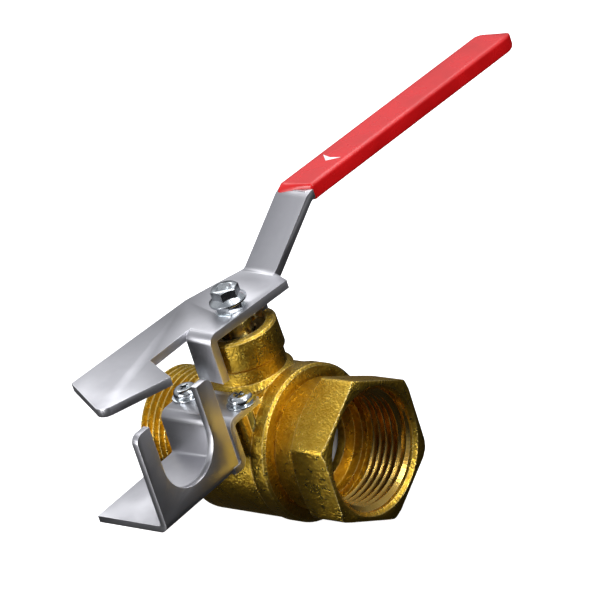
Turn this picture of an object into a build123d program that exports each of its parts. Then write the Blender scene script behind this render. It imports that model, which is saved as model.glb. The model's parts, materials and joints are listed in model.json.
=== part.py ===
from build123d import *
from math import asin, cos, degrees, radians, sin, tan

import os

os.makedirs("parts", exist_ok=True)

# A one-inch brass ball valve with a cranked lever, a lever flag and a fork bracket.
# The pipe axis is X, the stem axis is Z, and they cross at the origin, the centre of the ball.
# The female end faces +X, the male end -X, and the bracket stands on the -Y side.
# All sizes are in millimetres and degrees.

# ---- pipe threads -------------------------------------------------------------------
thread_radius = 16.62        # major radius of a one-inch pipe thread
thread_depth = 1.42          # from crest to root
thread_pitch = 2.209
female_thread_length = 17.0
female_mouth_chamfer = 1.0
male_thread_length = 16.0
port_radius = 10.6           # the plain passage through both ends

# ---- ball and seats -----------------------------------------------------------------
ball_radius = 15.0
ball_bore_radius = 9.5
seat_inner_radius = 10.8
seat_outer_radius = 14.1
seat_front = 9.8             # distance of the seat's ball side from the stem axis
seat_thickness = 4.2
seat_gap = 0.3               # between ball and seat

# ---- body ---------------------------------------------------------------------------
cavity_radius = 15.9
barrel_radius = 21.3
barrel_back = 15.5           # distance of the barrel's male-side end from the stem axis
collar_radius = 21.7
collar_start = 10.5
collar_end = 16.0
collar_chamfer = 0.7
male_end = 35.0              # distance of the male end face from the stem axis
male_neck_radius = 15.0
shoulder_reach = 20.0        # the flat block under the bracket, measured from the stem axis
shoulder_far_reach = 8.0     # the same block behind the bonnet
shoulder_half_length = 11.6
shoulder_top = 19.6
shoulder_edge = 1.2
fit_gap = 0.05               # between static pieces that screw or push together

# ---- female end connector -----------------------------------------------------------
hex_across_flats = 37.6
hex_length = 12.6
hex_corner_radius = 1.6
connector_neck_radius = 18.1
connector_face = 36.4        # distance of the female face from the stem axis
relief_radius = 14.6
plug_start = 9.5
seal_thickness = 0.8
seal_radius = 17.2

# ---- stem ---------------------------------------------------------------------------
stem_radius = 4.4
stem_running_gap = 0.08
stem_flange_radius = 6.0
stem_flange_bottom = 15.6
stem_flange_top = 17.8
washer_thickness = 0.9
tang_width = 3.6
tang_length = 9.0
tang_bottom = 11.9
slot_gap = 0.35              # round the tang in the ball's slot
stud_radius = 2.0
stem_across_flats = 6.2
moving_gap = 0.3             # between pieces that turn past each other
o_ring_groove_depth = 1.4
o_ring_groove_width = 1.9

# ---- bonnet and packing -------------------------------------------------------------
bonnet_radius = 11.2
bonnet_neck_radius = 10.3
bonnet_neck_top = 27.0
bonnet_top = 35.3
packing_radius = 7.0
packing_floor = 22.0
packing_ring_height = 2.1
packing_ring_count = 3
gland_ring_height = 1.6
cup_radius = 8.3
cup_floor = 29.4
gland_nut_height = 3.6
gland_slot_width = 2.0
gland_slot_depth = 1.4

# ---- lever --------------------------------------------------------------------------
lever_turn_at_rest = 5.0     # clockwise from square across the pipe, seen from above
lever_travel = 95.0          # anticlockwise, to the open stop
plate_bottom = 37.9
plate_thickness = 2.5
plate_left = 18.0            # the plate's edges, measured across the lever from the stem
plate_right = 5.2
strip_right = 4.3            # the tail strip's near edge lies this far beyond the stem
notch_depth = 28.4           # distances of the flag's corners behind the stem
flag_near_corner = 33.3
flag_far_corner = 44.4
flag_reach = 53.4
flag_overhang = 9.8
flag_tip = 2.7
flag_corner_radius = 3.0
tab_front = 14.3             # outside of the tab, behind the stem
tab_bottom = 26.0
tab_bend_radius = 2.9
shank_offset = 7.1           # the handle runs beside the stem by this much
shank_width = 12.0
shank_start = 19.0
shank_rise = 14.3
shank_angle = 36.0
bar_width = 9.0
bar_lift = 1.3               # the handle's bar rises by this angle towards its end
bar_length = 88.0
grip_wall = 1.3
grip_length = 89.0
grip_start = 2.0             # from the crank's upper bend to the grip's open end
crank_bend_radius = 5.0
stop_width = 4.0
stop_length = 1.9
stop_bottom = 32.6
stop_side_gap = 0.4

# ---- lever nuts ---------------------------------------------------------------------
nut_across_flats = 7.0
jam_nut_height = 2.6
flange_nut_height = 4.2
flange_nut_flange = 1.1
flange_nut_flange_radius = 5.2

# ---- bracket ------------------------------------------------------------------------
sheet = 2.0
bracket_half_length = 12.5   # along the pipe, either side of the stem
pad_back = 12.0              # the pad's edge nearest the stem, measured from the stem
web_outer = 25.2             # the outside of the web, measured from the stem axis
flange_reach = 57.0          # the flange's far edge, measured from the stem axis
flange_bottom = 7.1
fork_top = 36.4
fork_inner_gap = 1.0         # between the web and the fork's near arm
fork_slot_width = 19.6
fork_slot_bottom = 13.3
fork_tip_radius = 2.4
sheet_bend = 0.8             # inside radius of the bracket's bends
screw_spacing = 19.8
screw_line = 16.0            # distance of the screws from the stem axis
screw_radius = 2.0
screw_head_radius = 3.5
screw_head_height = 2.4
screw_length = 9.0
screw_recess_radius = 1.5
screw_recess_depth = 1.2
screw_recess_width = 0.7
screw_washer_radius = 4.2
screw_washer_height = 0.5

# ---- places that follow from the sizes above ------------------------------------------
plate_top = plate_bottom + plate_thickness
plate_middle = plate_bottom + plate_thickness / 2
pad_top = shoulder_top + sheet
seat_back = seat_front + seat_thickness
washer_top = stem_flange_top + washer_thickness
gland_ring_bottom = packing_floor + packing_ring_count * packing_ring_height
gland_nut_bottom = gland_ring_bottom + gland_ring_height
jam_nut_top = plate_top + jam_nut_height
stud_top = jam_nut_top + flange_nut_height + 0.3
stop_inner = cup_radius + stop_side_gap
hex_start = connector_face - hex_length
screw_places = [(-screw_spacing / 2, -screw_line), (screw_spacing / 2, -screw_line)]
fork_arm_near = web_outer + fork_inner_gap
fork_middle = (fork_arm_near + flange_reach) / 2
crank_run = shank_rise / tan(radians(shank_angle))
crank_top = shank_start + crank_run
bar_middle = plate_middle + shank_rise

# The lever's own plane: X across the lever and Y along it, towards the handle.
turn = radians(lever_turn_at_rest)
lever_plan = Plane(origin=(0, 0, 0), x_dir=(cos(turn), -sin(turn), 0), z_dir=(0, 0, 1))
# The lever seen from its side: X along the lever and Y up, on the handle's middle line.
lever_side = Plane(
    origin=lever_plan.from_local_coords(Vector(-shank_offset, 0, 0)),
    x_dir=lever_plan.y_dir,
    z_dir=lever_plan.x_dir,
)
# The handle's bar, from its upper bend: X along the bar and Z square to its flat side.
lift = radians(bar_lift)
bar_start = lever_side.from_local_coords(Vector(crank_top, bar_middle, 0))
bar_along = lever_side.x_dir * cos(lift) + Vector(0, 0, sin(lift))
bar_plane = Plane(origin=bar_start, x_dir=bar_along, z_dir=bar_along.cross(lever_side.z_dir) * -1)


def section(points):
    """A closed outline in the plane of the pipe axis and the stem axis."""
    with BuildSketch(Plane.XZ) as outline_sketch:
        with BuildLine():
            Polyline(*points, close=True)
        make_face()
    return outline_sketch.sketch


# ---- body: male end, barrel, shoulder and bonnet in one brass forging -------------------
male_start = male_end - male_thread_length
root_radius = thread_radius - thread_depth
ridge_count = int(male_thread_length / thread_pitch)

body_outline = [(-male_end, 0), (-male_end, root_radius)]
for ridge in range(ridge_count):
    ridge_start = -male_end + ridge * thread_pitch
    body_outline += [
        (ridge_start + 0.12 * thread_pitch, root_radius),
        (ridge_start + 0.44 * thread_pitch, thread_radius),
        (ridge_start + 0.56 * thread_pitch, thread_radius),
        (ridge_start + 0.88 * thread_pitch, root_radius),
    ]
body_outline += [
    (-male_start, root_radius),
    (-male_start, male_neck_radius),
    (-barrel_back - 1.5, male_neck_radius),
    (-barrel_back, barrel_radius - 1.0),
    (-barrel_back + 1.0, barrel_radius),
    (collar_start, barrel_radius),
    (collar_start, collar_radius - collar_chamfer),
    (collar_start + collar_chamfer, collar_radius),
    (collar_end - collar_chamfer, collar_radius),
    (collar_end, collar_radius - collar_chamfer),
    (collar_end, 0),
]
body_hollow = [
    (-male_end, 0),
    (-male_end, port_radius + 1.0),
    (-male_end + 1.0, port_radius),
    (-seat_back, port_radius),
    (-seat_back, seat_outer_radius + fit_gap),
    (-seat_front + moving_gap, seat_outer_radius + fit_gap),
    (-seat_front + moving_gap, cavity_radius),
    (collar_end - seal_thickness, cavity_radius),
    (collar_end - seal_thickness, seal_radius + fit_gap),
    (collar_end, seal_radius + fit_gap),
    (collar_end, 0),
]
bonnet_outline = [
    (0, 0),
    (bonnet_neck_radius + 1.4, 0),
    (bonnet_neck_radius + 1.4, shoulder_top + 0.8),
    (bonnet_neck_radius, shoulder_top + 2.4),
    (bonnet_neck_radius, bonnet_neck_top - 1.0),
    (bonnet_radius, bonnet_neck_top),
    (bonnet_radius - 0.2, bonnet_top - 0.6),
    (bonnet_radius - 0.8, bonnet_top),
    (0, bonnet_top),
]
stop_half_angle = degrees(asin((stop_width / 2 + stop_side_gap) / stop_inner))
notch_start = 90 - lever_turn_at_rest - stop_half_angle
notch_sweep = lever_travel + 2 * stop_half_angle

with BuildPart() as body:
    with BuildSketch(Plane.XY):
        with Locations((0, (shoulder_far_reach - shoulder_reach) / 2)):
            Rectangle(2 * shoulder_half_length, shoulder_far_reach + shoulder_reach)
    extrude(amount=shoulder_top)
    fillet(body.edges().filter_by(Axis.Z), shoulder_edge)
    chamfer(body.faces().sort_by(Axis.Z)[-1].edges(), shoulder_edge / 2)
    revolve(section(body_outline), axis=Axis.X)
    revolve(section(bonnet_outline), axis=Axis.Z)
    revolve(section(body_hollow), axis=Axis.X, mode=Mode.SUBTRACT)
    for radius, bottom, top in [
        (stem_flange_radius + moving_gap, 0, washer_top),
        (stem_radius + stem_running_gap, 0, bonnet_top),
        (packing_radius + fit_gap, packing_floor, bonnet_top),
        (cup_radius, cup_floor, bonnet_top),
    ]:
        with BuildSketch(Plane.XY.offset(bottom)):
            Circle(radius)
        extrude(amount=top - bottom, mode=Mode.SUBTRACT)
    with BuildSketch(Plane.XY.offset(bonnet_top)):
        with BuildLine():
            PolarLine((0, 0), 2 * bonnet_radius, notch_start)
            far = CenterArc((0, 0), 2 * bonnet_radius, notch_start, notch_sweep)
            Line(far @ 1, (0, 0))
        make_face()
    extrude(amount=stop_bottom - moving_gap - bonnet_top, mode=Mode.SUBTRACT)
    with BuildSketch(Plane.XY.offset(shoulder_top)):
        with Locations(*screw_places):
            Circle(screw_radius + fit_gap)
    extrude(amount=sheet + screw_washer_height - screw_length, mode=Mode.SUBTRACT)
body.part.label = "body"
export_step(body.part, "parts/body.step")

# ---- female end connector: a hexagon outside, a thread inside, and the plug for the body ---
connector_outline = [
    (plug_start, 0),
    (plug_start, cavity_radius - fit_gap - 0.4),
    (plug_start + 0.4, cavity_radius - fit_gap),
    (collar_end, cavity_radius - fit_gap),
    (collar_end, connector_neck_radius - 0.5),
    (collar_end + 0.8, connector_neck_radius - 0.5),
    (collar_end + 0.8, connector_neck_radius),
    (connector_face - 0.5, connector_neck_radius),
    (connector_face - 0.5, 0),
]
connector_hollow = [
    (plug_start, 0),
    (plug_start, seat_outer_radius + fit_gap),
    (seat_back, seat_outer_radius + fit_gap),
    (seat_back, port_radius),
    (collar_end + 0.6, port_radius),
    (collar_end + 0.6, relief_radius),
    (connector_face - female_thread_length, relief_radius),
    (connector_face - female_thread_length, thread_radius),
    (connector_face - female_mouth_chamfer, thread_radius),
    (connector_face, thread_radius + female_mouth_chamfer),
    (connector_face, 0),
]
hex_inscribed = hex_across_flats / 2
hex_chamfer_cone = [
    (hex_start, 0),
    (hex_start, hex_inscribed),
    (hex_start + 2.0, hex_inscribed + 3.4),
    (connector_face - 0.9, hex_inscribed + 3.4),
    (connector_face, hex_inscribed + 1.6),
    (connector_face, 0),
]

with BuildPart() as end_connector:
    with BuildSketch(Plane.YZ.offset(hex_start)):
        RegularPolygon(hex_inscribed, 6, major_radius=False, rotation=30)
    extrude(amount=hex_length)
    fillet(end_connector.edges().filter_by(Axis.X), hex_corner_radius)
    revolve(section(hex_chamfer_cone), axis=Axis.X, mode=Mode.INTERSECT)
    revolve(section(connector_outline), axis=Axis.X)
    revolve(section(connector_hollow), axis=Axis.X, mode=Mode.SUBTRACT)
end_connector.part.label = "end_connector"
export_step(end_connector.part, "parts/end_connector.step")

# ---- the flat ring that seals the connector to the body ----------------------------------
body_seal_plane = Plane.YZ.offset(collar_end - seal_thickness)
with BuildPart() as body_seal:
    with BuildSketch(body_seal_plane):
        Circle(seal_radius)
        Circle(cavity_radius, mode=Mode.SUBTRACT)
    extrude(amount=seal_thickness)
body_seal.part.label = "body_seal"
export_step(body_seal.part, "parts/body_seal.step")

# ---- ball: bored along the lever, with a slot across its top for the stem's tang -----------
slot_bottom = tang_bottom - slot_gap

with BuildPart() as ball:
    Sphere(ball_radius)
    with BuildSketch(Plane(origin=(0, 0, 0), z_dir=lever_plan.y_dir)):
        Circle(ball_bore_radius)
    extrude(amount=ball_radius, both=True, mode=Mode.SUBTRACT)
    with BuildSketch(lever_plan.offset(slot_bottom)):
        Rectangle(2 * ball_radius, tang_width + 2 * slot_gap)
    extrude(amount=ball_radius, mode=Mode.SUBTRACT)
ball.part.label = "ball"
export_step(ball.part, "parts/ball.step")

# ---- seats: one ring on each side of the ball, hollowed to the ball's curve ----------------
for seat_name, side in (("seat_female_side", 1), ("seat_male_side", -1)):
    with BuildPart() as seat:
        with BuildSketch(Plane.XZ):
            seat_middle = (
                side * (seat_front + seat_thickness / 2),
                (seat_inner_radius + seat_outer_radius) / 2,
            )
            with Locations(seat_middle):
                Rectangle(seat_thickness, seat_outer_radius - seat_inner_radius)
            Circle(ball_radius + seat_gap, mode=Mode.SUBTRACT)
        revolve(axis=Axis.X)
    seat.part.label = seat_name
    export_step(seat.part, f"parts/{seat_name}.step")

# ---- stem: tang, flange, sealed shaft, flats for the lever and a threaded stud --------------
groove_middle = (washer_top + packing_floor) / 2
groove_radius = stem_radius - o_ring_groove_depth
stem_outline = [
    (0, tang_bottom),
    (tang_length / 2, tang_bottom),
    (tang_length / 2, stem_flange_bottom),
    (stem_flange_radius, stem_flange_bottom),
    (stem_flange_radius, stem_flange_top),
    (stem_radius, stem_flange_top),
    (stem_radius, groove_middle - o_ring_groove_width / 2),
    (groove_radius, groove_middle - o_ring_groove_width / 2),
    (groove_radius, groove_middle + o_ring_groove_width / 2),
    (stem_radius, groove_middle + o_ring_groove_width / 2),
    (stem_radius, plate_top),
    (stud_radius, plate_top),
    (stud_radius, stud_top - 0.4),
    (stud_radius - 0.4, stud_top),
    (0, stud_top),
]

with BuildPart() as stem:
    revolve(section(stem_outline), axis=Axis.Z)
    with BuildSketch(lever_plan.offset(tang_bottom)):
        for side in (-1, 1):
            with Locations((0, side * (tang_width / 2 + stem_radius))):
                Rectangle(4 * stem_radius, 2 * stem_radius)
    extrude(amount=stem_flange_bottom - tang_bottom, mode=Mode.SUBTRACT)
    with BuildSketch(lever_plan.offset(plate_bottom)):
        for side in (-1, 1):
            with Locations((side * (stem_across_flats / 2 + stem_radius), 0)):
                Rectangle(2 * stem_radius, 4 * stem_radius)
    extrude(amount=plate_thickness, mode=Mode.SUBTRACT)
stem.part.label = "stem"
export_step(stem.part, "parts/stem.step")

# ---- seals round the stem: O-ring, thrust washer and packing rings --------------------------
wire_radius = (o_ring_groove_depth + stem_running_gap) / 2 - fit_gap

with BuildPart() as stem_o_ring:
    with BuildSketch(Plane.XZ):
        with Locations((groove_radius + fit_gap + wire_radius, groove_middle)):
            Circle(wire_radius)
    revolve(axis=Axis.Z)
stem_o_ring.part.label = "stem_o_ring"
export_step(stem_o_ring.part, "parts/stem_o_ring.step")

with BuildPart() as thrust_washer:
    with BuildSketch(Plane.XY.offset(stem_flange_top)):
        Circle(stem_flange_radius)
        Circle(stem_radius + stem_running_gap, mode=Mode.SUBTRACT)
    extrude(amount=washer_thickness)
thrust_washer.part.label = "thrust_washer"
export_step(thrust_washer.part, "parts/thrust_washer.step")

with BuildPart() as stem_packing:
    for ring_number in range(packing_ring_count):
        with BuildSketch(Plane.XY.offset(packing_floor + ring_number * packing_ring_height)):
            Circle(packing_radius)
            Circle(stem_radius + 2 * stem_running_gap, mode=Mode.SUBTRACT)
        extrude(amount=packing_ring_height - fit_gap)
stem_packing.part.label = "stem_packing"
export_step(stem_packing.part, "parts/stem_packing.step")

with BuildPart() as gland_ring:
    with BuildSketch(Plane.XY.offset(gland_ring_bottom)):
        Circle(packing_radius)
        Circle(stem_radius + moving_gap, mode=Mode.SUBTRACT)
    extrude(amount=gland_ring_height)
gland_ring.part.label = "gland_ring"
export_step(gland_ring.part, "parts/gland_ring.step")

# ---- gland nut: a slotted threaded ring in the bonnet's cup, which presses the packing -------
with BuildPart() as gland_nut:
    with BuildSketch(Plane.XY.offset(gland_nut_bottom)):
        Circle(cup_radius - fit_gap)
        Circle(stem_radius + moving_gap, mode=Mode.SUBTRACT)
    extrude(amount=gland_nut_height)
    chamfer(gland_nut.faces().sort_by(Axis.Z)[-1].edges(), 0.4)
    with BuildSketch(Plane.XY.offset(gland_nut_bottom + gland_nut_height)):
        Rectangle(4 * cup_radius, gland_slot_width)
        Rectangle(gland_slot_width, 4 * cup_radius)
    extrude(amount=-gland_slot_depth, mode=Mode.SUBTRACT)
gland_nut.part.label = "gland_nut"
export_step(gland_nut.part, "parts/gland_nut.step")

# ---- lever: one pressed plate with a tail flag, a folded tab, a stop and a cranked handle ----
shank_left = -shank_offset - shank_width / 2
shank_right = -shank_offset + shank_width / 2
plate_shoulder = shank_start - 2.0
tab_bend_start = tab_bend_radius - tab_front
crank_end = grip_start - moving_gap
side_of_crank = [
    (plate_shoulder - 6.0, plate_middle),
    (shank_start, plate_middle),
    (crank_top, bar_middle),
    (crank_top + crank_end, bar_middle + crank_end * tan(lift)),
]

with BuildPart() as lever:
    with BuildSketch(lever_plan.offset(plate_bottom)) as plate:
        with BuildLine():
            outline = Polyline(
                (shank_right, shank_start),
                (plate_right, plate_shoulder),
                (plate_right, tab_bend_start),
                (-strip_right, tab_bend_start),
                (-strip_right + 1.0, -notch_depth),
                (flag_overhang, -flag_near_corner),
                (flag_tip, -flag_reach),
                (-plate_left, -flag_far_corner),
                (-plate_left, 0),
            )
            neck = Spline(outline @ 1, (1.25 * shank_left, 0.35 * shank_start), (shank_left, shank_start))
            Line(neck @ 1, outline @ 0)
        make_face()
        fillet(plate.vertices().sort_by(Axis.Y)[0], flag_corner_radius)
    extrude(amount=plate_thickness)
    with BuildSketch(lever_side):
        with BuildLine():
            FilletPolyline(*side_of_crank, radius=crank_bend_radius)
        trace(line_width=plate_thickness)
    extrude(amount=shank_width / 2, both=True)
    with BuildSketch(bar_plane.offset(-plate_thickness / 2)):
        with Locations((bar_length / 2, 0)):
            SlotOverall(bar_length, bar_width)
        with Locations((bar_width / 2, 0)):
            Rectangle(bar_width, bar_width)
    extrude(amount=plate_thickness)
    with BuildSketch(lever_side.offset(shank_offset)) as tab:
        with BuildLine():
            Line((tab_bend_start, plate_top), (tab_bend_start, plate_bottom))
            inner = Line((tab_bend_start, plate_bottom), (plate_thickness - tab_front, plate_bottom))
            Line(inner @ 1, (plate_thickness - tab_front, tab_bottom))
            Line((plate_thickness - tab_front, tab_bottom), (-tab_front, tab_bottom))
            Line((-tab_front, tab_bottom), (-tab_front, plate_top - tab_bend_radius))
            RadiusArc((-tab_front, plate_top - tab_bend_radius), (tab_bend_start, plate_top), tab_bend_radius)
        make_face()
    extrude(amount=plate_right)
    extrude(tab.sketch, amount=-strip_right)
    with BuildSketch(lever_plan.offset(plate_bottom)):
        with Locations((0, stop_inner + stop_length / 2)):
            Rectangle(stop_width, stop_length)
    extrude(amount=stop_bottom - plate_bottom)
    with BuildSketch(lever_plan.offset(plate_bottom)):
        Circle(stem_radius + fit_gap)
        Rectangle(stem_across_flats + 2 * fit_gap, 4 * stem_radius, mode=Mode.INTERSECT)
    extrude(amount=plate_thickness, mode=Mode.SUBTRACT)
lever.part.label = "lever"
export_step(lever.part, "parts/lever.step")

# ---- grip: a dipped vinyl sleeve over the handle's bar ------------------------------------
grip_width = bar_width + 2 * grip_wall
grip_thickness = plate_thickness + 2 * grip_wall

with BuildPart() as grip:
    with BuildSketch(bar_plane.offset(-grip_thickness / 2)):
        with Locations((grip_start + grip_length / 2, 0)):
            SlotOverall(grip_length, grip_width)
        with Locations((grip_start + grip_width / 2, 0)):
            Rectangle(grip_width, grip_width)
    extrude(amount=grip_thickness)
    long_edges = grip.edges().filter_by(lambda edge: edge.length > grip_width * 1.2)
    fillet(long_edges, grip_wall * 0.9)
    with BuildSketch(bar_plane.offset(-plate_thickness / 2)):
        with Locations((bar_length / 2, 0)):
            SlotOverall(bar_length, bar_width)
        with Locations((bar_width / 2, 0)):
            Rectangle(bar_width, bar_width)
    extrude(amount=plate_thickness, mode=Mode.SUBTRACT)
grip.part.label = "grip"
export_step(grip.part, "parts/grip.step")

# ---- the two nuts that hold the lever on the stem -----------------------------------------
with BuildPart() as jam_nut:
    with BuildSketch(lever_plan.offset(plate_top)):
        RegularPolygon(nut_across_flats / 2, 6, major_radius=False, rotation=12)
        Circle(stud_radius + fit_gap, mode=Mode.SUBTRACT)
    extrude(amount=jam_nut_height)
jam_nut.part.label = "jam_nut"
export_step(jam_nut.part, "parts/jam_nut.step")

nut_flank = nut_across_flats / 2
flange_nut_cone = [
    (0, jam_nut_top),
    (flange_nut_flange_radius, jam_nut_top),
    (flange_nut_flange_radius, jam_nut_top + 0.5 * flange_nut_flange),
    (nut_flank, jam_nut_top + 1.6 * flange_nut_flange),
    (0, jam_nut_top + 1.6 * flange_nut_flange),
]
nut_crown = [
    (0, jam_nut_top),
    (flange_nut_flange_radius, jam_nut_top),
    (flange_nut_flange_radius, jam_nut_top + flange_nut_height - 1.0),
    (nut_flank - 0.2, jam_nut_top + flange_nut_height),
    (0, jam_nut_top + flange_nut_height),
]
with BuildPart() as flange_nut:
    with BuildSketch(lever_plan.offset(jam_nut_top)):
        RegularPolygon(nut_flank, 6, major_radius=False, rotation=0)
    extrude(amount=flange_nut_height)
    revolve(section(nut_crown), axis=Axis.Z, mode=Mode.INTERSECT)
    revolve(section(flange_nut_cone), axis=Axis.Z)
    with BuildSketch(Plane.XY.offset(jam_nut_top)):
        Circle(stud_radius + fit_gap)
    extrude(amount=flange_nut_height, mode=Mode.SUBTRACT)
flange_nut.part.label = "flange_nut"
export_step(flange_nut.part, "parts/flange_nut.step")

# ---- bracket: one folded sheet with a pad, a web, a flange and an upright fork --------------
bend_line_radius = sheet_bend + sheet / 2
web_middle = web_outer - sheet / 2
flange_middle = flange_bottom + sheet / 2
fork_plate_middle = bracket_half_length - sheet / 2
fork_width = flange_reach - fork_arm_near
slot_middle = fork_slot_bottom + fork_slot_width / 2
web_side = [
    (-pad_back, shoulder_top + sheet / 2),
    (-web_middle, shoulder_top + sheet / 2),
    (-web_middle, flange_middle),
    (-fork_arm_near - sheet, flange_middle),
]
fork_side = [
    (-bracket_half_length, flange_middle),
    (fork_plate_middle, flange_middle),
    (fork_plate_middle, fork_top),
]

with BuildPart() as bracket:
    with BuildSketch(Plane.XZ.offset(fork_arm_near)):
        with BuildLine():
            FilletPolyline(*fork_side, radius=bend_line_radius)
        trace(line_width=sheet)
    extrude(amount=fork_width)
    tips = bracket.edges().filter_by(Axis.X).group_by(Axis.Z)[-1]
    fillet(tips, fork_tip_radius)
    with BuildSketch(Plane.YZ.offset(bracket_half_length)):
        with Locations((-fork_middle, slot_middle)):
            Circle(fork_slot_width / 2)
        with Locations((-fork_middle, slot_middle + fork_top / 2)):
            Rectangle(fork_slot_width, fork_top)
    extrude(amount=-sheet, mode=Mode.SUBTRACT)
    with BuildSketch(Plane.YZ):
        with BuildLine():
            FilletPolyline(*web_side, radius=bend_line_radius)
        trace(line_width=sheet)
    extrude(amount=bracket_half_length, both=True)
    with BuildSketch(Plane.XY.offset(pad_top)):
        with Locations(*screw_places):
            Circle(screw_radius + moving_gap)
    extrude(amount=-sheet, mode=Mode.SUBTRACT)
bracket.part.label = "bracket"
export_step(bracket.part, "parts/bracket.step")

# ---- the two pan-head screws and their washers ----------------------------------------------
screw_head_bottom = pad_top + screw_washer_height

with BuildPart() as bracket_washers:
    with BuildSketch(Plane.XY.offset(pad_top)):
        with Locations(*screw_places):
            Circle(screw_washer_radius)
            Circle(screw_radius + fit_gap, mode=Mode.SUBTRACT)
    extrude(amount=screw_washer_height)
bracket_washers.part.label = "bracket_washers"
export_step(bracket_washers.part, "parts/bracket_washers.step")

with BuildPart() as bracket_screws:
    with BuildSketch(Plane.XY.offset(screw_head_bottom)):
        with Locations(*screw_places):
            Circle(screw_head_radius)
    extrude(amount=screw_head_height)
    fillet(bracket_screws.faces().group_by(Axis.Z)[-1].edges(), 0.6 * screw_head_height)
    with BuildSketch(Plane.XY.offset(screw_head_bottom)):
        with Locations(*screw_places):
            Circle(screw_radius)
    extrude(amount=-screw_length)
    with BuildSketch(Plane.XY.offset(screw_head_bottom + screw_head_height)):
        with Locations(*screw_places):
            Rectangle(2 * screw_recess_radius, screw_recess_width)
            Rectangle(screw_recess_width, 2 * screw_recess_radius)
    extrude(amount=-screw_recess_depth, mode=Mode.SUBTRACT)
bracket_screws.part.label = "bracket_screws"
export_step(bracket_screws.part, "parts/bracket_screws.step")
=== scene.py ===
# %% [markdown]
# # A brass ball valve with a lever flag and a fork bracket
# The solid model is already built and packed: a forged body, a hexagonal connector, a ball, a stem, a
# pressed lever and a folded bracket. This lesson dresses it. Blender adds what a solid model leaves out:
# the rounded edges of forged and pressed metal, the thread inside the mouth, the dipped vinyl of the grip,
# and the finish of every surface. Nothing is moved or resized, because every piece rides on its body.

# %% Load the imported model
import json
import math

import bmesh
import bpy
import numpy as np
from mathutils import Matrix, Vector


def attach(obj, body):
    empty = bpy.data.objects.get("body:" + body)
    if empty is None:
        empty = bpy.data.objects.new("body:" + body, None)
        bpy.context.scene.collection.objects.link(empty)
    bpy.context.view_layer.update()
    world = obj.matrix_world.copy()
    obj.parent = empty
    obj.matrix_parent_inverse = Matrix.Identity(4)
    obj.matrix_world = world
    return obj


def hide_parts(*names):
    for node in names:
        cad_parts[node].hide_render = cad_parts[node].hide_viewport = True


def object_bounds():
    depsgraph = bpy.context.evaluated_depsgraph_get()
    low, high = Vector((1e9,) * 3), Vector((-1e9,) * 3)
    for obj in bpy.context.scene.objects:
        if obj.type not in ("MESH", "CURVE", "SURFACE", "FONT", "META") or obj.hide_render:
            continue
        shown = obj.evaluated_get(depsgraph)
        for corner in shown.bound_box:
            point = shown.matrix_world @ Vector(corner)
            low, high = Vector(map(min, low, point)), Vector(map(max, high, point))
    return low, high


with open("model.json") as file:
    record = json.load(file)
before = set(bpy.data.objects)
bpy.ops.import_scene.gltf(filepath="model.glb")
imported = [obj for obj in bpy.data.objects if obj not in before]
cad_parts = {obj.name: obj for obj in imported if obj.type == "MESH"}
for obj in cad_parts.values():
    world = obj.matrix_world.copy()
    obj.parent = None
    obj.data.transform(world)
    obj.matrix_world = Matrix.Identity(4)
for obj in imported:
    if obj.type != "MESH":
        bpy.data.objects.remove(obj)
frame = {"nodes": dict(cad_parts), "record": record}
cad_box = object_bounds()
MM = 0.001
BODY = "valve_body"
LEVER = "lever_and_stem"
mounts = {mount["name"]: mount for mount in frame["record"]["mounts"]}
print("nodes:", sorted(frame["nodes"]))

# %% [markdown]
# ## The camera
# The valve is seen from above its female end, with a long lens, so that lines which are parallel on the
# valve stay nearly parallel in the picture. The camera is turned about its own axis, which makes the valve
# seem to lean back on its bracket. It stands on the line from the aim point, turned by the azimuth about
# the vertical and lifted by the elevation.

# %% Place the camera
CAMERA_AZIMUTH = 46.6
CAMERA_ELEVATION = 25.35
CAMERA_ROLL = -18.0
CAMERA_DISTANCE = 1.03
CAMERA_LENS = 227.3
CAMERA_AIM = Vector((2.3, 23.0, 29.8)) * MM


def camera_axes(azimuth, elevation, roll):
    """The camera's right, up and backward directions: the level ones first, then turned by the roll."""
    a, e, r = (math.radians(angle) for angle in (azimuth, elevation, roll))
    backward = Vector((math.sin(a) * math.cos(e), -math.cos(a) * math.cos(e), math.sin(e)))
    level_right = Vector((math.cos(a), math.sin(a), 0))
    level_up = backward.cross(level_right)
    right = level_right * math.cos(r) + level_up * math.sin(r)
    return right, backward.cross(right), backward


right, up, backward = camera_axes(CAMERA_AZIMUTH, CAMERA_ELEVATION, CAMERA_ROLL)
camera = bpy.data.objects.new("camera", bpy.data.cameras.new("camera"))
camera.data.lens = CAMERA_LENS
camera.data.sensor_width = 36
camera.data.clip_end = 20
camera.matrix_world = Matrix((right, up, backward)).transposed().to_4x4()
camera.location = CAMERA_AIM + backward * CAMERA_DISTANCE
bpy.context.scene.collection.objects.link(camera)
bpy.context.scene.camera = camera

# %% [markdown]
# ## Floor and light
# A plain white floor lies under the lowest corner of the valve. Metal shows what surrounds it, so the
# light is made of large soft panels: a square one in front on the bracket's side, which brightens the tab
# and the web, one overhead for the flat plates, a narrow upright one beside the female end, and a weaker
# one behind. The surroundings go from dark below to light above, which gives brass its dark undersides.

# %% Lay the floor
FLOOR_HALF_SIZE = 3.0


def principled(material):
    """The shader of a new material."""
    material.use_nodes = True
    return material.node_tree.nodes["Principled BSDF"]


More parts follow.
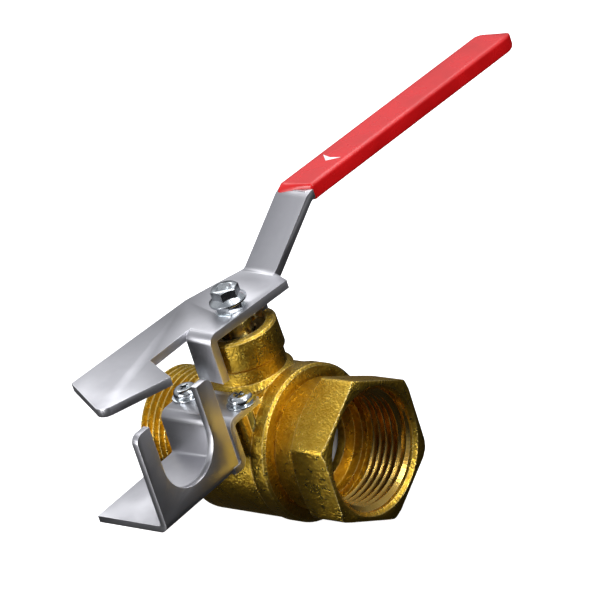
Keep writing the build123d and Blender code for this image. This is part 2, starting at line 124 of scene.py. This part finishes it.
floor_height = cad_box[0][2]
floor_mesh = bpy.data.meshes.new("floor")
corners = np.array([(-1, -1, 0), (1, -1, 0), (1, 1, 0), (-1, 1, 0)], dtype=float) * FLOOR_HALF_SIZE
corners[:, 2] = floor_height
floor_mesh.from_pydata(corners.tolist(), [], [(0, 1, 2, 3)])
floor = bpy.data.objects.new("floor", floor_mesh)
bpy.context.scene.collection.objects.link(floor)
floor_paint = bpy.data.materials.new("floor_white")
shader = principled(floor_paint)
shader.inputs["Base Color"].default_value = (0.9, 0.9, 0.9, 1)
shader.inputs["Roughness"].default_value = 0.9
shader.inputs["Specular IOR Level"].default_value = 0.0
shader.inputs["Emission Color"].default_value = (1, 1, 1, 1)
shader.inputs["Emission Strength"].default_value = 0.80
floor_mesh.materials.append(floor_paint)
# The floor stays out of the metal's reflections, so undersides turn dark as they do over a deep sweep.
floor.visible_glossy = False
floor.visible_diffuse = False

# %% Hang the lights
# Each panel: name, direction from the valve (azimuth, elevation), distance, width, height, power.
PANELS = (
    ("front_panel", 352, 14, 0.75, 0.45, 0.45, 4.6),
    ("top_panel", 150, 70, 0.80, 0.50, 0.50, 2.3),
    ("side_panel", 88, 34, 0.85, 0.16, 0.60, 3.2),
    ("rear_panel", 230, 48, 0.85, 0.60, 0.30, 1.2),
)
light_target = Vector((0, 0, 10)) * MM

for name, azimuth, elevation, distance, width, height, power in PANELS:
    panel = bpy.data.lights.new(name, "AREA")
    panel.shape = "RECTANGLE"
    panel.size = width
    panel.size_y = height
    panel.energy = power
    lamp = bpy.data.objects.new(name, panel)
    across, above, towards = camera_axes(azimuth, elevation, 0)
    lamp.matrix_world = Matrix((across, above, towards)).transposed().to_4x4()
    lamp.location = light_target + towards * distance
    bpy.context.scene.collection.objects.link(lamp)

# The surroundings are dark below the horizon and light above, on a scale from 0 (down) to 1 (up).
SKY_DARK_BELOW = 0.44
SKY_LIGHT_ABOVE = 0.72
world = bpy.data.worlds.new("studio")
bpy.context.scene.world = world
world.use_nodes = True
sky_nodes, sky_links = world.node_tree.nodes, world.node_tree.links
sky_place = sky_nodes.new("ShaderNodeTexCoord")
sky_height = sky_nodes.new("ShaderNodeSeparateXYZ")
sky_ramp = sky_nodes.new("ShaderNodeValToRGB")
sky_ramp.color_ramp.elements[0].position = SKY_DARK_BELOW
sky_ramp.color_ramp.elements[0].color = (0.02, 0.02, 0.022, 1)
sky_ramp.color_ramp.elements[1].position = SKY_LIGHT_ABOVE
sky_ramp.color_ramp.elements[1].color = (0.66, 0.67, 0.70, 1)
sky_half = sky_nodes.new("ShaderNodeMapRange")
sky_half.inputs["From Min"].default_value = -1.0
sky_links.new(sky_place.outputs["Generated"], sky_height.inputs["Vector"])
sky_links.new(sky_height.outputs["Z"], sky_half.inputs["Value"])
sky_links.new(sky_half.outputs["Result"], sky_ramp.inputs["Fac"])
sky_links.new(sky_ramp.outputs["Color"], sky_nodes["Background"].inputs["Color"])
sky_nodes["Background"].inputs["Strength"].default_value = 0.75
bpy.context.scene.view_settings.view_transform = "Standard"

# %% [markdown]
# ## Surface effects
# Two effects turn up in several finishes, so each is a node group that is built once. The edge mask compares
# the true surface direction with one that is rounded over a small radius: they differ only near an edge,
# and there the finish takes a brighter tone, partly rubbed wear and partly a painted highlight. Grain is the
# fine sandy or brushed unevenness of a metal skin: a noise at one size for bumps, and a much larger one for
# patches of tone.


# %% Two node groups
def new_group(name, inputs, outputs):
    """An empty shader node group with float inputs (name, value) and outputs (name, socket type)."""
    group = bpy.data.node_groups.new(name, "ShaderNodeTree")
    for socket_name, value in inputs:
        socket = group.interface.new_socket(socket_name, in_out="INPUT", socket_type="NodeSocketFloat")
        socket.default_value = value
    for socket_name, socket_type in outputs:
        group.interface.new_socket(socket_name, in_out="OUTPUT", socket_type=socket_type)
    return group, group.nodes.new("NodeGroupInput"), group.nodes.new("NodeGroupOutput")


# The mask picks out rounded edges for a brighter tone: partly rubbed wear, partly a painted highlight.
def edge_wear_and_highlight_group():
    """Mask = gain times (1 - dot product of the true normal and the rounded normal), held within 0 to 1."""
    group, entry, leave = new_group(
        "edge_wear_and_highlight", [("Radius", 0.0006), ("Gain", 8.0)], [("Mask", "NodeSocketFloat")]
    )
    nodes, links = group.nodes, group.links
    rounded = nodes.new("ShaderNodeBevel")
    rounded.samples = 4
    true_normal = nodes.new("ShaderNodeNewGeometry")
    dot = nodes.new("ShaderNodeVectorMath")
    dot.operation = "DOT_PRODUCT"
    inverse = nodes.new("ShaderNodeMath")
    inverse.operation = "SUBTRACT"
    inverse.inputs[0].default_value = 1.0
    scaled = nodes.new("ShaderNodeMath")
    scaled.operation = "MULTIPLY"
    scaled.use_clamp = True
    links.new(entry.outputs["Radius"], rounded.inputs["Radius"])
    links.new(rounded.outputs["Normal"], dot.inputs[0])
    links.new(true_normal.outputs["Normal"], dot.inputs[1])
    links.new(dot.outputs["Value"], inverse.inputs[1])
    links.new(inverse.outputs["Value"], scaled.inputs[0])
    links.new(entry.outputs["Gain"], scaled.inputs[1])
    links.new(scaled.outputs["Value"], leave.inputs["Mask"])
    return group


def grain_group():
    """Height = fine noise plus half of a coarser one; Patches = large soft noise from 0 to 1."""
    group, entry, leave = new_group(
        "grain",
        [("Size mm", 0.5), ("Stretch X", 1.0), ("Stretch Y", 1.0), ("Patch size mm", 9.0)],
        [("Height", "NodeSocketFloat"), ("Patches", "NodeSocketFloat")],
    )
    nodes, links = group.nodes, group.links
    place = nodes.new("ShaderNodeTexCoord")
    stretch = nodes.new("ShaderNodeCombineXYZ")
    stretch.inputs["Z"].default_value = 1.0
    pulled = nodes.new("ShaderNodeVectorMath")
    pulled.operation = "MULTIPLY"
    links.new(entry.outputs["Stretch X"], stretch.inputs["X"])
    links.new(entry.outputs["Stretch Y"], stretch.inputs["Y"])
    links.new(place.outputs["Object"], pulled.inputs[0])
    links.new(stretch.outputs["Vector"], pulled.inputs[1])

    def noise(size_socket, factor, vector_socket):
        scale = nodes.new("ShaderNodeMath")
        scale.operation = "DIVIDE"
        scale.inputs[0].default_value = factor / MM
        texture = nodes.new("ShaderNodeTexNoise")
        texture.inputs["Detail"].default_value = 3.0
        links.new(size_socket, scale.inputs[1])
        links.new(scale.outputs["Value"], texture.inputs["Scale"])
        links.new(vector_socket, texture.inputs["Vector"])
        return texture.outputs["Fac"]

    fine = noise(entry.outputs["Size mm"], 1.0, pulled.outputs["Vector"])
    coarse = noise(entry.outputs["Size mm"], 0.35, pulled.outputs["Vector"])
    patches = noise(entry.outputs["Patch size mm"], 1.0, place.outputs["Object"])
    half = nodes.new("ShaderNodeMath")
    half.operation = "MULTIPLY_ADD"
    half.inputs[1].default_value = 0.5
    links.new(coarse, half.inputs[0])
    links.new(fine, half.inputs[2])
    links.new(half.outputs["Value"], leave.inputs["Height"])
    links.new(patches, leave.inputs["Patches"])
    return group


EDGE_WEAR_AND_HIGHLIGHT = edge_wear_and_highlight_group()
GRAIN = grain_group()

# %% [markdown]
# ## The finishes
# Every finish of this valve is the same recipe with other numbers: two tones mixed by the large patches, a
# brighter tone on the edges that is partly rubbed wear and partly a painted highlight, roughness that follows
# the patches, and a bump from the fine grain. So one function makes them all, and the table of finishes reads
# like a paint chart.


# %% Make a finish
def finish(name, dark, light, worn_and_highlit_edge, metallic, roughness, grain, bump, wear_and_highlight=(0.6, 8.0), coat=0.0):
    """A material: patches mix dark and light, edges take the edge tone (partly rubbed wear, partly a painted
    highlight), roughness runs between two values.

    grain is (size, stretch X, stretch Y, patch size) in mm and plain factors, bump is the depth in mm.
    """
    material = bpy.data.materials.new(name)
    shader = principled(material)
    nodes, links = material.node_tree.nodes, material.node_tree.links
    grain_node = nodes.new("ShaderNodeGroup")
    grain_node.node_tree = GRAIN
    for socket_name, value in zip(("Size mm", "Stretch X", "Stretch Y", "Patch size mm"), grain):
        grain_node.inputs[socket_name].default_value = value
    # The edge mask and the edges mix below give rounded edges a brighter tone: partly rubbed wear, partly a
    # painted highlight.
    wear_and_highlight_node = nodes.new("ShaderNodeGroup")
    wear_and_highlight_node.node_tree = EDGE_WEAR_AND_HIGHLIGHT
    wear_and_highlight_node.inputs["Radius"].default_value = wear_and_highlight[0] * MM
    wear_and_highlight_node.inputs["Gain"].default_value = wear_and_highlight[1]
    spread = nodes.new("ShaderNodeMapRange")
    spread.inputs["From Min"].default_value = 0.35
    spread.inputs["From Max"].default_value = 0.65
    tones = nodes.new("ShaderNodeMix")
    tones.data_type = "RGBA"
    tones.inputs["A"].default_value = (*dark, 1)
    tones.inputs["B"].default_value = (*light, 1)
    edges = nodes.new("ShaderNodeMix")
    edges.data_type = "RGBA"
    edges.inputs["B"].default_value = (*worn_and_highlit_edge, 1)
    rough = nodes.new("ShaderNodeMapRange")
    rough.inputs["To Min"].default_value = roughness[1]
    rough.inputs["To Max"].default_value = roughness[0]
    relief = nodes.new("ShaderNodeBump")
    relief.inputs["Distance"].default_value = bump * MM
    links.new(grain_node.outputs["Patches"], spread.inputs["Value"])
    links.new(spread.outputs["Result"], tones.inputs["Factor"])
    links.new(tones.outputs["Result"], edges.inputs["A"])
    links.new(wear_and_highlight_node.outputs["Mask"], edges.inputs["Factor"])
    links.new(edges.outputs["Result"], shader.inputs["Base Color"])
    links.new(spread.outputs["Result"], rough.inputs["Value"])
    links.new(rough.outputs["Result"], shader.inputs["Roughness"])
    links.new(grain_node.outputs["Height"], relief.inputs["Height"])
    links.new(relief.outputs["Normal"], shader.inputs["Normal"])
    shader.inputs["Metallic"].default_value = metallic
    shader.inputs["Coat Weight"].default_value = coat
    shader.inputs["Coat Roughness"].default_value = 0.12
    return material


# %% The paint chart
# The third colour of each finish is its edge tone: partly rubbed wear, partly a painted highlight.
forged_brass = finish(
    "forged_brass", (0.50, 0.30, 0.028), (0.64, 0.42, 0.055), (1.0, 0.82, 0.34),
    metallic=1.0, roughness=(0.26, 0.36), grain=(0.62, 1, 1, 2.2), bump=0.26, wear_and_highlight=(0.55, 8.0),
)
turned_brass = finish(
    "turned_brass", (0.60, 0.36, 0.07), (0.78, 0.53, 0.14), (0.95, 0.80, 0.40),
    metallic=1.0, roughness=(0.16, 0.26), grain=(0.25, 6, 1, 6.0), bump=0.01, wear_and_highlight=(0.25, 5.0),
)
plated_steel = finish(
    "plated_steel", (0.50, 0.50, 0.53), (0.60, 0.60, 0.63), (0.92, 0.92, 0.95),
    metallic=1.0, roughness=(0.34, 0.44), grain=(0.35, 1, 0.15, 14.0), bump=0.012, wear_and_highlight=(0.35, 9.0),
)
bright_zinc = finish(
    "bright_zinc", (0.40, 0.43, 0.46), (0.66, 0.70, 0.72), (0.9, 0.93, 0.95),
    metallic=1.0, roughness=(0.14, 0.26), grain=(0.3, 1, 1, 2.5), bump=0.012, wear_and_highlight=(0.2, 6.0),
)
red_vinyl = finish(
    "red_vinyl", (0.56, 0.003, 0.004), (0.70, 0.008, 0.010), (0.74, 0.02, 0.02),
    metallic=0.0, roughness=(0.24, 0.34), grain=(1.4, 1, 1, 12.0), bump=0.015, wear_and_highlight=(0.5, 1.0), coat=0.35,
)
chromed_ball = finish(
    "chromed_ball", (0.16, 0.16, 0.17), (0.22, 0.22, 0.23), (0.6, 0.6, 0.6),
    metallic=1.0, roughness=(0.06, 0.12), grain=(0.4, 1, 1, 6.0), bump=0.002, wear_and_highlight=(0.2, 4.0),
)
white_ptfe = finish(
    "white_ptfe", (0.72, 0.72, 0.70), (0.84, 0.84, 0.82), (0.9, 0.9, 0.9),
    metallic=0.0, roughness=(0.40, 0.55), grain=(0.6, 1, 1, 5.0), bump=0.01,
)
black_rubber = finish(
    "black_rubber", (0.010, 0.010, 0.010), (0.022, 0.022, 0.022), (0.04, 0.04, 0.04),
    metallic=0.0, roughness=(0.45, 0.6), grain=(0.3, 1, 1, 4.0), bump=0.01,
)
white_ink = finish(
    "white_ink", (0.80, 0.84, 0.84), (0.92, 0.95, 0.95), (0.95, 0.95, 0.95),
    metallic=0.0, roughness=(0.35, 0.45), grain=(0.4, 1, 1, 2.0), bump=0.01,
)

# %% [markdown]
# ## Metal with rounded edges
# The solid model's edges are knife sharp, and no forging or pressing has such edges: they catch a thin line
# of light. Each visible metal piece is therefore a copy of its solid, with its doubled points merged and its
# flat faces joined, and a bevel that rounds every edge by a few tenths of a millimetre. The solid itself is
# hidden and stays in charge of contact.


# %% Copy a solid and round its edges
def rounded_copy(node, radius_mm, material, body, slot, segments=2, angle=28):
    """A merged copy of a CAD node with its edges rounded by the given radius."""
    source = frame["nodes"][node]
    mesh = bpy.data.meshes.new(node + "_metal")
    work = bmesh.new()
    work.from_mesh(source.data)
    bmesh.ops.remove_doubles(work, verts=work.verts, dist=0.002 * MM)
    bmesh.ops.dissolve_limit(work, angle_limit=math.radians(0.6), verts=work.verts, edges=work.edges)
    for face in work.faces:
        face.smooth = True
    work.to_mesh(mesh)
    work.free()
    piece = bpy.data.objects.new(node + "_metal", mesh)
    bpy.context.scene.collection.objects.link(piece)
    mesh.materials.clear()
    mesh.materials.append(material)
    bevel = piece.modifiers.new("rounded_edges", "BEVEL")
    bevel.width = radius_mm * MM
    bevel.segments = segments
    bevel.limit_method = "ANGLE"
    bevel.angle_limit = math.radians(angle)
    bevel.use_clamp_overlap = True
    bevel.harden_normals = True
    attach(piece, body)
    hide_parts(node)
    return piece


ROUNDED = (
    ("body", 0.35, forged_brass, BODY, "forged_brass"),
    ("end_connector", 0.40, forged_brass, BODY, "forged_brass"),
    ("bracket", 0.30, plated_steel, BODY, "plated_steel"),
    ("bracket_screws", 0.12, bright_zinc, BODY, "bright_screw"),
    ("bracket_washers", 0.10, bright_zinc, BODY, "bright_screw"),
    ("lever", 0.45, plated_steel, LEVER, "plated_steel"),
    ("jam_nut", 0.15, bright_zinc, LEVER, "bright_screw"),
    ("flange_nut", 0.15, bright_zinc, LEVER, "bright_screw"),
)
for row in ROUNDED:
    rounded_piece = rounded_copy(*row)
    print(rounded_piece.name, len(rounded_piece.data.polygons), "faces")

# %% [markdown]
# ## The hidden pieces
# Ball, seats, packing and stem are hardly seen: through the ports, under the lever, and where the stem's
# end stands out of its nut. Their solids have the right shape already, so they only take their finish.

# %% Dress the inner solids
INNER_FINISH = {
    "ball": chromed_ball,
    "stem": bright_zinc,
    "gland_ring": turned_brass,
    "gland_nut": turned_brass,
    "seat_female_side": white_ptfe,
    "seat_male_side": white_ptfe,
    "body_seal": white_ptfe,
    "thrust_washer": white_ptfe,
    "stem_packing": white_ptfe,
    "stem_o_ring": black_rubber,
}
for node, material in INNER_FINISH.items():
    frame["nodes"][node].data.materials.clear()
    frame["nodes"][node].data.materials.append(material)

# %% [markdown]
# ## Surfaces from formulas
# The thread and the grip are made here from scratch. Both are grids: one direction runs along the piece and
# the other goes round it, and numpy works out all points at once. One helper turns such a grid into a mesh.


# %% Turn a grid of points into a closed mesh
def grid_piece(name, points, material, body):
    """A mesh from points[i, j]: i runs along the piece, j goes round it, and both ends are closed."""
    rows, columns = points.shape[:2]
    i, j = np.meshgrid(np.arange(rows - 1), np.arange(columns), indexing="ij")
    after = (j + 1) % columns
    quads = np.stack(
        [i * columns + j, i * columns + after, (i + 1) * columns + after, (i + 1) * columns + j], axis=-1
    ).reshape(-1, 4)
    faces = quads.tolist()
    faces.append(list(range(columns - 1, -1, -1)))
    faces.append(list(range((rows - 1) * columns, rows * columns)))
    mesh = bpy.data.meshes.new(name)
    mesh.from_pydata(points.reshape(-1, 3).tolist(), [], faces)
    work = bmesh.new()
    work.from_mesh(mesh)
    bmesh.ops.recalc_face_normals(work, faces=work.faces)
    work.to_mesh(mesh)
    work.free()
    mesh.materials.append(material)
    piece = bpy.data.objects.new(name, mesh)
    bpy.context.scene.collection.objects.link(piece)
    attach(piece, body)
    return piece


# %% [markdown]
# ## The thread in the mouth
# A pipe thread is one V-shaped ridge that winds along the wall. The ridge's section is carried along a
# helix: at turn angle t it has moved by one pitch for each full turn. Its height fades in and out over less
# than half a turn at each end, as a tap leaves it. Its foot sinks a little into the wall, so no gap can show.

# %% Wind the female thread
THREAD_PITCH = 2.209 * MM
THREAD_DEPTH = 1.42 * MM
FOOT_DEPTH = 0.06 * MM
port = mounts["female_port"]
wall_radius = port["dims"]["r_mm"] * MM
wall_end = port["pos_m"][0]
wall_start = wall_end - port["dims"]["length_mm"] * MM
TURNS_LEFT_FREE = 1.1
STEPS_PER_TURN = 96
FADE_ANGLE = 0.8 * math.pi
LEAST_HEIGHT = 0.02
turns = (wall_end - wall_start) / THREAD_PITCH - TURNS_LEFT_FREE
turn_angle = np.linspace(0, 2 * math.pi * turns, int(turns * STEPS_PER_TURN))
fade = np.clip(np.minimum(turn_angle, turn_angle[-1] - turn_angle) / FADE_ANGLE, LEAST_HEIGHT, 1.0)
# The section has four points, foot, crest, crest, foot: their places in shares of the pitch, and heights.
ridge_place = np.array([0.06, 0.43, 0.57, 0.94])
ridge_height = np.array([0.0, 1.0, 1.0, 0.0])
ridge_rise = ridge_height[None, :] * fade[:, None] * THREAD_DEPTH
radius = np.where(ridge_height > 0, wall_radius - ridge_rise, wall_radius + FOOT_DEPTH)
along = wall_start + THREAD_PITCH * (turn_angle[:, None] / (2 * math.pi) + ridge_place[None, :])
thread_points = np.stack(
    [along, radius * np.cos(turn_angle)[:, None], radius * np.sin(turn_angle)[:, None]], axis=-1
)
female_thread = grid_piece("female_thread", thread_points, turned_brass, BODY)
print("female thread:", round(turns, 2), "turns,", len(female_thread.data.polygons), "faces")

# %% [markdown]
# ## The dipped grip
# The handle is dipped in liquid vinyl, which leaves a soft coat with round edges, a rounded tip and a thin
# lip where the coat ends. Its section is a superellipse, a rectangle with generously rounded corners:
# x = w * cos(t)^k and z = h * sin(t)^k with k well below 1. The width and the height change along the
# handle: a slight thickening at the lip, a slight broadening along the bar, and a tip that rounds off.

# %% Dip the grip
LEVER_TURN = math.radians(5.0)
BAR_LIFT = math.radians(1.3)
bar_along = Vector((
    math.sin(LEVER_TURN) * math.cos(BAR_LIFT), math.cos(LEVER_TURN) * math.cos(BAR_LIFT), math.sin(BAR_LIFT)
))
bar_across = Vector((math.cos(LEVER_TURN), -math.sin(LEVER_TURN), 0))
bar_up = bar_across.cross(bar_along)
bar_axes = np.array([bar_across, bar_along, bar_up])


def node_points(node):
    """All vertices of a CAD node as an array of rows."""
    mesh = frame["nodes"][node].data
    flat = np.empty(len(mesh.vertices) * 3)
    mesh.vertices.foreach_get("co", flat)
    return flat.reshape(-1, 3)


grip_local = node_points("grip") @ bar_axes.T
grip_low, grip_high = grip_local.min(axis=0), grip_local.max(axis=0)
grip_middle = (grip_low + grip_high) / 2
grip_half = (grip_high - grip_low) / 2
grip_length = 2 * grip_half[1]
print("grip is", np.round(2 * grip_half / MM, 2), "mm")

SECTION_POINTS = 64
SECTION_POWER = 0.26
round_angle = np.linspace(0, 2 * math.pi, SECTION_POINTS, endpoint=False)
rounded_cos = np.sign(np.cos(round_angle)) * np.abs(np.cos(round_angle)) ** SECTION_POWER
rounded_sin = np.sign(np.sin(round_angle)) * np.abs(np.sin(round_angle)) ** SECTION_POWER
TIP_START = 0.925
TIP_LENGTH = 0.075
LIP_REACH = 1.6 * MM
MOUTH_ROUNDING = 0.7 * MM
distance_along = np.concatenate([
    np.linspace(0, 0.02, 6),
    np.linspace(0.03, 0.90, 60),
    0.90 + 0.10 * np.sin(np.linspace(0, math.pi / 2, 26))[1:],
]) * grip_length
tip_share = np.clip((distance_along - TIP_START * grip_length) / (TIP_LENGTH * grip_length), 0, 1)
lip = np.exp(-((distance_along / LIP_REACH) ** 2))
open_end = np.clip(distance_along / MOUTH_ROUNDING, 0.0, 1.0) ** 0.5
half_width = grip_half[0] * (0.985 + 0.015 * distance_along / grip_length) * np.sqrt(1.001 - tip_share**2.6)
half_height = grip_half[2] * (0.97 + 0.03 * lip) * (1 - tip_share**4) ** 0.5
half_width *= 0.9 + 0.1 * open_end
# The coat's edge runs askew across the bend and the tip is askew too, so both ends are sheared. Its first
# stretch reaches back over the crank, and drops with it.
share_along = distance_along / grip_length
BEND_BEFORE_MOUTH = 1.1 * MM
CRANK_SLOPE = 0.62
askew_shares = [0, 0.10, 0.90, 1]
slant = np.interp(share_along, askew_shares, [1.7, 0.0, 0.0, 1.6]) * MM
distance_along = distance_along + np.interp(share_along, askew_shares, [-1.9, 0, 0, -1.6]) * MM
past_bend = distance_along[:, None] + slant[:, None] * rounded_cos[None, :] + BEND_BEFORE_MOUTH
drop = np.where(past_bend < 0, past_bend * CRANK_SLOPE, 0)
half_height = half_height * (0.75 + 0.25 * open_end) + 0.02 * MM
section_across, section_up = rounded_cos[None, :, None], rounded_sin[None, :, None]
grip_points = (
    bar_axes[0] * (grip_middle[0] + half_width[:, None, None] * section_across)
    + bar_axes[1] * (grip_low[1] + distance_along[:, None, None] + slant[:, None, None] * section_across)
    + bar_axes[2] * (grip_middle[2] + drop[:, :, None] + half_height[:, None, None] * section_up)
)
grip_skin = grid_piece("grip_skin", grip_points, red_vinyl, LEVER)
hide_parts("grip")
grip_skin.data.polygons.foreach_set("use_smooth", [True] * len(grip_skin.data.polygons))

# %% [markdown]
# ## The mark on the grip
# A plain white arrowhead is printed across the handle, near the open end of the coat. It is a flat film:
# an outline of four corners, given a hair of thickness, laid on the grip's flat top.

# %% Print the arrowhead
MARK_LIFT = 0.03 * MM
MARK_FILM = 0.05 * MM
MARK_PLACE = 13.5 * MM
GRIP_TOP = 0.97    # the grip's flat top, as a share of half the CAD grip's thickness


def lay_on_grip(name, mesh, centre_along):
    """Lay a flat mesh on the grip's top: its x runs across the bar, its y along it, its z off the surface."""
    flat = np.empty(len(mesh.vertices) * 3)
    mesh.vertices.foreach_get("co", flat)
    flat = flat.reshape(-1, 3)
    local = np.stack([
        grip_middle[0] + flat[:, 0],
        grip_low[1] + centre_along + flat[:, 1],
        grip_middle[2] + grip_half[2] * GRIP_TOP + MARK_LIFT + flat[:, 2],
    ], axis=-1)
    mesh.vertices.foreach_set("co", (local @ bar_axes).ravel())
    mesh.materials.append(white_ink)
    piece = bpy.data.objects.new(name, mesh)
    bpy.context.scene.collection.objects.link(piece)
    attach(piece, LEVER)


arrow_mesh = bpy.data.meshes.new("arrow_mark")
arrow_outline = np.array([(-3.4, 1.1), (0.0, -1.5), (3.4, 1.1), (0.0, 0.35)]) * MM
arrow_ring = np.concatenate([
    np.c_[arrow_outline, np.full(4, -MARK_FILM / 2)], np.c_[arrow_outline, np.full(4, MARK_FILM / 2)]
])
arrow_sides = [(k, (k + 1) % 4, (k + 1) % 4 + 4, k + 4) for k in range(4)]
arrow_mesh.from_pydata(arrow_ring.tolist(), [], [(3, 2, 1, 0), (4, 5, 6, 7), *arrow_sides])
lay_on_grip("arrow_mark", arrow_mesh, MARK_PLACE)
